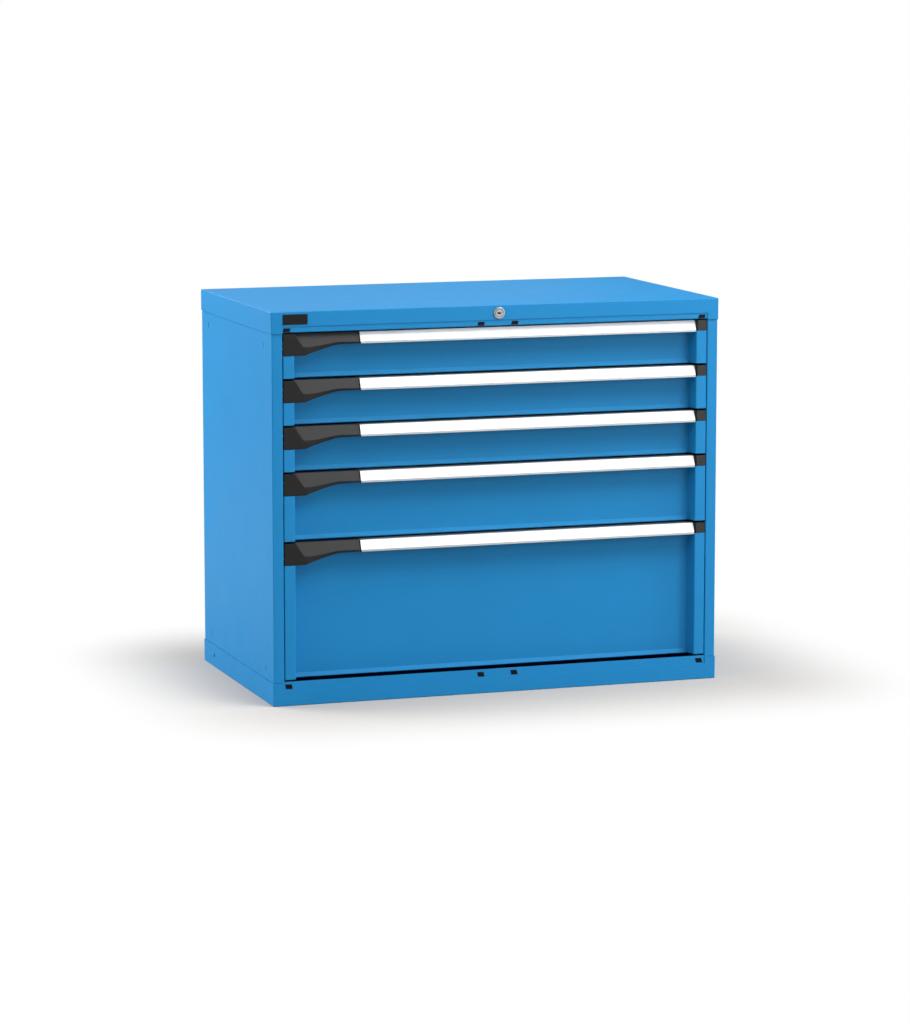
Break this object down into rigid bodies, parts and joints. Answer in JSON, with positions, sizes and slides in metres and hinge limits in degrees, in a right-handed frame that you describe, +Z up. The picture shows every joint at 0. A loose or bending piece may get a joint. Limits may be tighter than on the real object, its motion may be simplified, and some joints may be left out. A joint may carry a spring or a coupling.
{
  "type": "drawer cabinet",
  "caption": "Steel drawer cabinet with full-width runner drawers, recessed fronts, aluminium label handles with grip levers, and a central lock.",
  "frame": {"origin": "centre of the underside, on the floor", "axes": "+X to the right across the width, +Y to the back, +Z up; the drawers open towards -Y"},
  "size_m": [1.023, 0.574, 0.85],
  "materials": {
    "blue_paint": "satin powder coat",
    "grey_paint": "satin powder coat",
    "aluminium": "natural anodised",
    "white_label": "matt label strip",
    "black_plastic": "fine moulded grain",
    "grip_plastic": "fine moulded grain",
    "zinc_steel": "bright zinc plated",
    "lock_metal": "nickel plated"
  },
  "bodies": {
    "cabinet": {"top_cover": "blue_paint", "base_tray": "blue_paint", "left_side_panel": "blue_paint", "right_side_panel": "blue_paint", "back_panel": "blue_paint", "front_rails": "blue_paint", "hole_plugs": "black_plastic", "name_plate": "black_plastic", "uprights": "zinc_steel", "cabinet_runners": "zinc_steel", "lock_body": "lock_metal"},
    "lock_plug": {"lock_plug": "lock_metal", "lock_cam": "zinc_steel"},
    "lock_rod": {"lock_cross_rod": "zinc_steel"},
    "lock_bar": {"locking_bar": "zinc_steel"},
    "drawer_1": {"drawer_1_box": "grey_paint", "drawer_1_front": "blue_paint", "drawer_1_handle": "aluminium", "drawer_1_label": "white_label", "drawer_1_left_cap": "black_plastic", "drawer_1_right_cap": "black_plastic", "drawer_1_runners": "zinc_steel"},
    "drawer_1_grip": {"drawer_1_grip_lever": "grip_plastic"},
    "drawer_1_middle": {"drawer_1_middle_runners": "zinc_steel"},
    "drawer_2": {"drawer_2_box": "grey_paint", "drawer_2_front": "blue_paint", "drawer_2_handle": "aluminium", "drawer_2_label": "white_label", "drawer_2_left_cap": "black_plastic", "drawer_2_right_cap": "black_plastic", "drawer_2_runners": "zinc_steel"},
    "drawer_2_grip": {"drawer_2_grip_lever": "grip_plastic"},
    "drawer_2_middle": {"drawer_2_middle_runners": "zinc_steel"},
    "drawer_3": {"drawer_3_box": "grey_paint", "drawer_3_front": "blue_paint", "drawer_3_handle": "aluminium", "drawer_3_label": "white_label", "drawer_3_left_cap": "black_plastic", "drawer_3_right_cap": "black_plastic", "drawer_3_runners": "zinc_steel"},
    "drawer_3_grip": {"drawer_3_grip_lever": "grip_plastic"},
    "drawer_3_middle": {"drawer_3_middle_runners": "zinc_steel"},
    "drawer_4": {"drawer_4_box": "grey_paint", "drawer_4_front": "blue_paint", "drawer_4_handle": "aluminium", "drawer_4_label": "white_label", "drawer_4_left_cap": "black_plastic", "drawer_4_right_cap": "black_plastic", "drawer_4_runners": "zinc_steel"},
    "drawer_4_grip": {"drawer_4_grip_lever": "grip_plastic"},
    "drawer_4_middle": {"drawer_4_middle_runners": "zinc_steel"},
    "drawer_5": {"drawer_5_box": "grey_paint", "drawer_5_front": "blue_paint", "drawer_5_handle": "aluminium", "drawer_5_label": "white_label", "drawer_5_left_cap": "black_plastic", "drawer_5_right_cap": "black_plastic", "drawer_5_runners": "zinc_steel"},
    "drawer_5_grip": {"drawer_5_grip_lever": "grip_plastic"},
    "drawer_5_middle": {"drawer_5_middle_runners": "zinc_steel"}
  },
  "joints": [
    {"name": "lock_turn", "type": "hinge", "parent": "cabinet", "child": "lock_plug", "pos_m": [0, -0.285, 0.8325], "axis": [0, 1, 0], "range_deg": [0, 90]},
    {"name": "lock_rod_slide", "type": "slide", "parent": "cabinet", "child": "lock_rod", "axis": [-1, 0, 0], "range_m": [0, 0.012]},
    {"name": "lock_bar_slide", "type": "slide", "parent": "cabinet", "child": "lock_bar", "axis": [0, 0, -1], "range_m": [0, 0.012]},
    {"name": "drawer_1_slide", "type": "slide", "parent": "cabinet", "child": "drawer_1", "axis": [0, -1, 0], "range_m": [0, 0.45]},
    {"name": "drawer_1_middle_slide", "type": "slide", "parent": "cabinet", "child": "drawer_1_middle", "axis": [0, -1, 0], "range_m": [0, 0.225]},
    {"name": "drawer_1_grip_pull", "type": "hinge", "parent": "drawer_1", "child": "drawer_1_grip", "pos_m": [-0.39, -0.27, 0.796], "axis": [-1, 0, 0], "range_deg": [0, 12], "stiffness_Nm_per_rad": 0.4, "springref_deg": -8.59},
    {"name": "drawer_2_slide", "type": "slide", "parent": "cabinet", "child": "drawer_2", "axis": [0, -1, 0], "range_m": [0, 0.45]},
    {"name": "drawer_2_middle_slide", "type": "slide", "parent": "cabinet", "child": "drawer_2_middle", "axis": [0, -1, 0], "range_m": [0, 0.225]},
    {"name": "drawer_2_grip_pull", "type": "hinge", "parent": "drawer_2", "child": "drawer_2_grip", "pos_m": [-0.39, -0.27, 0.696], "axis": [-1, 0, 0], "range_deg": [0, 12], "stiffness_Nm_per_rad": 0.4, "springref_deg": -8.59},
    {"name": "drawer_3_slide", "type": "slide", "parent": "cabinet", "child": "drawer_3", "axis": [0, -1, 0], "range_m": [0, 0.45]},
    {"name": "drawer_3_middle_slide", "type": "slide", "parent": "cabinet", "child": "drawer_3_middle", "axis": [0, -1, 0], "range_m": [0, 0.225]},
    {"name": "drawer_3_grip_pull", "type": "hinge", "parent": "drawer_3", "child": "drawer_3_grip", "pos_m": [-0.39, -0.27, 0.596], "axis": [-1, 0, 0], "range_deg": [0, 12], "stiffness_Nm_per_rad": 0.4, "springref_deg": -8.59},
    {"name": "drawer_4_slide", "type": "slide", "parent": "cabinet", "child": "drawer_4", "axis": [0, -1, 0], "range_m": [0, 0.45]},
    {"name": "drawer_4_middle_slide", "type": "slide", "parent": "cabinet", "child": "drawer_4_middle", "axis": [0, -1, 0], "range_m": [0, 0.225]},
    {"name": "drawer_4_grip_pull", "type": "hinge", "parent": "drawer_4", "child": "drawer_4_grip", "pos_m": [-0.39, -0.27, 0.496], "axis": [-1, 0, 0], "range_deg": [0, 12], "stiffness_Nm_per_rad": 0.4, "springref_deg": -8.59},
    {"name": "drawer_5_slide", "type": "slide", "parent": "cabinet", "child": "drawer_5", "axis": [0, -1, 0], "range_m": [0, 0.45]},
    {"name": "drawer_5_middle_slide", "type": "slide", "parent": "cabinet", "child": "drawer_5_middle", "axis": [0, -1, 0], "range_m": [0, 0.225]},
    {"name": "drawer_5_grip_pull", "type": "hinge", "parent": "drawer_5", "child": "drawer_5_grip", "pos_m": [-0.39, -0.27, 0.346], "axis": [-1, 0, 0], "range_deg": [0, 12], "stiffness_Nm_per_rad": 0.4, "springref_deg": -8.59}
  ],
  "couplings": [
    {"joint": "lock_turn", "follows": "lock_bar_slide", "rad_per_m": 130.89},
    {"joint": "lock_rod_slide", "follows": "lock_bar_slide", "ratio": 1},
    {"joint": "drawer_1_middle_slide", "follows": "drawer_1_slide", "ratio": 0.5},
    {"joint": "drawer_2_middle_slide", "follows": "drawer_2_slide", "ratio": 0.5},
    {"joint": "drawer_3_middle_slide", "follows": "drawer_3_slide", "ratio": 0.5},
    {"joint": "drawer_4_middle_slide", "follows": "drawer_4_slide", "ratio": 0.5},
    {"joint": "drawer_5_middle_slide", "follows": "drawer_5_slide", "ratio": 0.5}
  ]
}
